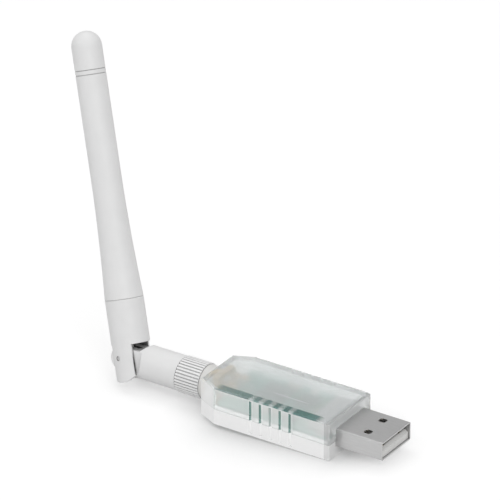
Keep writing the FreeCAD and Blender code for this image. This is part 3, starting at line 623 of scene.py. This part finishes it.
def printed(bm, route, width):
    ribbon(bm, route, width, board_top - FILM, board_top + FILM)


bm = bmesh.new()
chip_leads(bm, "radio_chip", count=12)
chip_leads(bm, "bridge_chip", count=7)
for name, axis in (("supply_capacitor", 1), ("core_capacitor", 1), ("radio_capacitor", 1),
                   ("match_inductor", 0), ("match_capacitor", 0), ("led_resistor", 0)):
    end_caps(bm, name, axis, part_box(name)[1].z + FILM)
end_caps(bm, "status_led", 0, board_top + LAMP_CAP_RISE)
made("part_terminals", bm, solder, "stick")

LEG_LONG, LEG_SIDE, LEG_HALF = 4.0 * MM, 2.6 * MM, 0.5 * MM
CONTACT_FOOT = 0.9 * MM
TAB_BACK, TAB_FRONT, TAB_OUT, TAB_IN = -4.5 * MM, -2.5 * MM, 0.1 * MM, 0.6 * MM
TAIL_LONG, TAIL_HALF = 1.6 * MM, 0.5 * MM

bm = bmesh.new()
jack_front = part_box("antenna_jack")[1].x
for side in (-1, 1):
    mound(bm, (jack_front - LEG_LONG, side * LEG_SIDE - LEG_HALF, board_top),
          (jack_front, side * LEG_SIDE + LEG_HALF, board_top), spread=0.45 * MM, rise=0.55 * MM)
for name in ("usb_contact_supply", "usb_contact_minus", "usb_contact_plus", "usb_contact_ground"):
    low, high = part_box(name)
    mound(bm, (low.x, low.y, board_top), (low.x + CONTACT_FOOT, high.y, board_top),
          spread=0.2 * MM, rise=0.1 * MM)
shell_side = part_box("usb_shell")[1].y
for side in (-1, 1):
    inner, outer = sorted((side * (shell_side + TAB_OUT), side * (shell_side - TAB_IN)))
    mound(bm, (TAB_BACK, inner, board_top), (TAB_FRONT, outer, board_top),
          spread=0.3 * MM, rise=0.25 * MM)
tail_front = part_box("jack_contact")[1].x
mound(bm, (tail_front - TAIL_LONG, -TAIL_HALF, board_top), (tail_front, TAIL_HALF, board_top),
      spread=0.3 * MM, rise=0.35 * MM)
made("solder_joints", bm, solder, "stick", smooth=True)

# tracks: chip to chip, bridge chip to the plug's data contacts, crystal, board edge, antenna feed
GAP = 0.1 * MM
radio_low, radio_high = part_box("radio_chip")
bridge_low, bridge_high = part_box("bridge_chip")
crystal_low, crystal_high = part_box("radio_crystal")
contact_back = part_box("usb_contact_plus")[0].x
board_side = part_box("circuit_board")[1].y - 0.3 * MM
BETWEEN_CHIPS, TO_THE_SIDE = 6, 5
# first track and step between tracks, in mm from a chip's corner
RADIO_SIDE, BRIDGE_SIDE = (1.2, 0.8), (0.6, 0.7)
OUTWARD, OUTWARD_RUN = (1.0, 1.1), (0.5, 0.25)
TURN, LATE_TURN, OUTWARD_TURN = 0.3 * MM, (0.45 * MM, 0.8 * MM), 0.6 * MM
CRYSTAL_PIN, FEED_INSIDE = 0.7 * MM, 0.2 * MM

bm = bmesh.new()
middle = (radio_high.x + bridge_low.x) / 2
for k in range(BETWEEN_CHIPS):
    y_radio = radio_low.y + (RADIO_SIDE[0] + RADIO_SIDE[1] * k) * MM
    y_bridge = bridge_low.y + (BRIDGE_SIDE[0] + BRIDGE_SIDE[1] * k) * MM
    printed(bm, [(radio_high.x + GAP, y_radio), (middle - TURN, y_radio),
                 (middle + TURN, y_bridge), (bridge_low.x - GAP, y_bridge)], TRACK_WIDTH)
for y_chip, y_contact in ((0.4 * MM, 1.0 * MM), (-0.3 * MM, -1.0 * MM)):
    printed(bm, [(bridge_high.x + GAP, y_chip), (bridge_high.x + LATE_TURN[0], y_chip),
                 (bridge_high.x + LATE_TURN[1], y_contact), (contact_back + GAP, y_contact)], PAIR_WIDTH)
for x_off in (CRYSTAL_PIN, -CRYSTAL_PIN):
    x = (crystal_low.x + crystal_high.x) / 2 + x_off
    printed(bm, [(x, crystal_high.y - GAP), (x, radio_low.y + GAP)], TRACK_WIDTH)
for k in range(TO_THE_SIDE):
    x = radio_low.x + (OUTWARD[0] + OUTWARD[1] * k) * MM
    x_out = x + OUTWARD_TURN
    y_turn = radio_high.y + (OUTWARD_RUN[0] + OUTWARD_RUN[1] * k) * MM
    printed(bm, [(x, radio_high.y), (x, y_turn), (x_out, y_turn + OUTWARD_TURN), (x_out, board_side)],
            TRACK_WIDTH)
printed(bm, [(tail_front - FEED_INSIDE, 0), (radio_low.x - GAP, 0)], FEED_WIDTH)
made("board_tracks", bm, track_green, "stick")

# white corner marks round the chips and the crystal
CORNER_LONG = 1 * MM
bm = bmesh.new()
for name, room in (("radio_chip", 0.45 * MM), ("bridge_chip", 0.45 * MM), ("radio_crystal", 0.25 * MM)):
    low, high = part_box(name)
    for x, y, inward_x, inward_y in ((low.x - room, low.y - room, 1, 1),
                                     (high.x + room, low.y - room, -1, 1),
                                     (high.x + room, high.y + room, -1, -1),
                                     (low.x - room, high.y + room, 1, -1)):
        printed(bm, [(x + inward_x * CORNER_LONG, y), (x, y), (x, y + inward_y * CORNER_LONG)], INK_WIDTH)
made("board_outlines", bm, ink, "stick")

# floor: it carries the stick at the fork's ears and at the housing's far end
ear_x = pivot.x - 0.2 * MM
house_rest_x = house_front - 1.0 * MM
FLOOR_HALF = 3.0
FLOOR_LEVEL = 0.64
FLOOR_GLOW, FLOOR_GLOW_THROUGH = 0.44, 0.85
SHADE_REACH = 20 * MM

lowest = cad_box[0][2]
slope = math.atan2(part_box("housing_tray")[0].z - lowest, house_rest_x - ear_x)
floor_mesh = bpy.data.meshes.new("floor")
floor_mesh.from_pydata([(-FLOOR_HALF, -FLOOR_HALF, 0), (FLOOR_HALF, -FLOOR_HALF, 0),
                        (FLOOR_HALF, FLOOR_HALF, 0), (-FLOOR_HALF, FLOOR_HALF, 0)], [], [(0, 1, 2, 3)])
floor = bpy.data.objects.new("floor", floor_mesh)
scene.collection.objects.link(floor)
floor.matrix_world = Matrix.Translation((ear_x, 0, lowest)) @ Matrix.Rotation(-slope, 4, "Y")
mat, tree, shader, out = new_material("floor")
rays = tree.nodes.new("ShaderNodeLightPath")
x = split(tree, place_in_object(tree))[0]


def shade_run(low, high, start, end):
    # low at start and high at end, which are places along the object
    return remap(tree, x, low, high, start * MM - ear_x, end * MM - ear_x)


# contact shade round the housing, which the clear shells don't cast; only the camera sees it
amount = product(tree, shade_run(0.66, 0.44, -24, -2), shade_run(0.0, 1.0, -46, -30),
                 shade_run(1.0, 0.0, 2, 10), rays.outputs["Is Camera Ray"])
shade = product(tree, amount, maths(tree, "SUBTRACT", 1.0, openness(tree, SHADE_REACH)))
tree.links.new(mix_colour(tree, shade, (FLOOR_LEVEL,) * 3, (0, 0, 0)), shader.inputs["Base Color"])
shader.inputs["Roughness"].default_value = 0.9
shader.inputs["Specular IOR Level"].default_value = 0.0
glow = tree.nodes.new("ShaderNodeEmission")
seen = larger(tree, rays.outputs["Is Camera Ray"], rays.outputs["Is Glossy Ray"])
seen = larger(tree, product(tree, seen, FLOOR_GLOW),
              product(tree, rays.outputs["Is Transmission Ray"], FLOOR_GLOW_THROUGH))
seen = product(tree, seen, maths(tree, "SUBTRACT", 1.0, shade))
tree.links.new(seen, glow.inputs["Strength"])
both = tree.nodes.new("ShaderNodeAddShader")
tree.links.new(shader.outputs["BSDF"], both.inputs[0])
tree.links.new(glow.outputs["Emission"], both.inputs[1])
tree.links.new(both.outputs["Shader"], out.inputs["Surface"])
floor.data.materials.append(mat)

# light: white to the camera and through the housing, softer on the object
WORLD_LIGHT, WORLD_GLOSS = 0.68, 0.7
world = bpy.data.worlds.new("studio")
scene.world = world
world.use_nodes = True
tree = world.node_tree
tree.nodes.clear()
out = tree.nodes.new("ShaderNodeOutputWorld")
sky = tree.nodes.new("ShaderNodeBackground")
rays = tree.nodes.new("ShaderNodeLightPath")
seen = larger(tree, rays.outputs["Is Camera Ray"], rays.outputs["Is Transmission Ray"])
lit = remap(tree, rays.outputs["Is Glossy Ray"], WORLD_LIGHT, WORLD_GLOSS)
tree.links.new(larger(tree, seen, lit), sky.inputs["Strength"])
tree.links.new(sky.outputs["Background"], out.inputs["Surface"])


def towards(azimuth, elevation):
    # direction from the object; the azimuth runs from -Y towards +X
    return Vector((math.sin(azimuth) * math.cos(elevation), -math.cos(azimuth) * math.cos(elevation),
                   math.sin(elevation)))


def soft_lamp(name, azimuth, elevation, power):
    # a square panel that faces the object
    side, distance, aim = 0.6, 0.9, Vector((-0.03, 0, 0.02))
    direction = towards(math.radians(azimuth), math.radians(elevation))
    data = bpy.data.lights.new(name, "AREA")
    data.shape = "SQUARE"
    data.size = side
    data.energy = power
    lamp = bpy.data.objects.new(name, data)
    scene.collection.objects.link(lamp)
    lamp.location = aim + distance * direction
    lamp.rotation_euler = direction.to_track_quat("Z", "Y").to_euler()


# azimuth and elevation in degrees, and power in watts
soft_lamp("right", 45, 40, 2.4)
soft_lamp("back", -150, 65, 1.4)
soft_lamp("left", -110, 45, 0.4)
soft_lamp("front", -25, 35, 1.0)
soft_lamp("low", 60, 15, 0.2)

# camera at the photograph's angle
CAMERA_AZIMUTH, CAMERA_ELEVATION = math.radians(33.54), math.radians(27.81)
CAMERA_ROLL = math.radians(-0.20)
CAMERA_TARGET = Vector((-26.8, 0, 37.1)) * MM
CAMERA_DISTANCE = 1342.0 * MM
backward = towards(CAMERA_AZIMUTH, CAMERA_ELEVATION)
right = Vector((math.cos(CAMERA_AZIMUTH), math.sin(CAMERA_AZIMUTH), 0))
up = backward.cross(right)
rolled_right = right * math.cos(CAMERA_ROLL) + up * math.sin(CAMERA_ROLL)
rolled_up = -right * math.sin(CAMERA_ROLL) + up * math.cos(CAMERA_ROLL)
camera_data = bpy.data.cameras.new("camera")
camera_data.sensor_width = 36
camera_data.lens = 432
camera_data.clip_start = 0.1
camera_data.clip_end = 20
camera = bpy.data.objects.new("camera", camera_data)
scene.collection.objects.link(camera)
turn = Matrix((rolled_right, rolled_up, backward)).transposed().to_4x4()
camera.matrix_world = Matrix.Translation(CAMERA_TARGET + backward * CAMERA_DISTANCE) @ turn
scene.camera = camera
scene.view_settings.view_transform = "Standard"
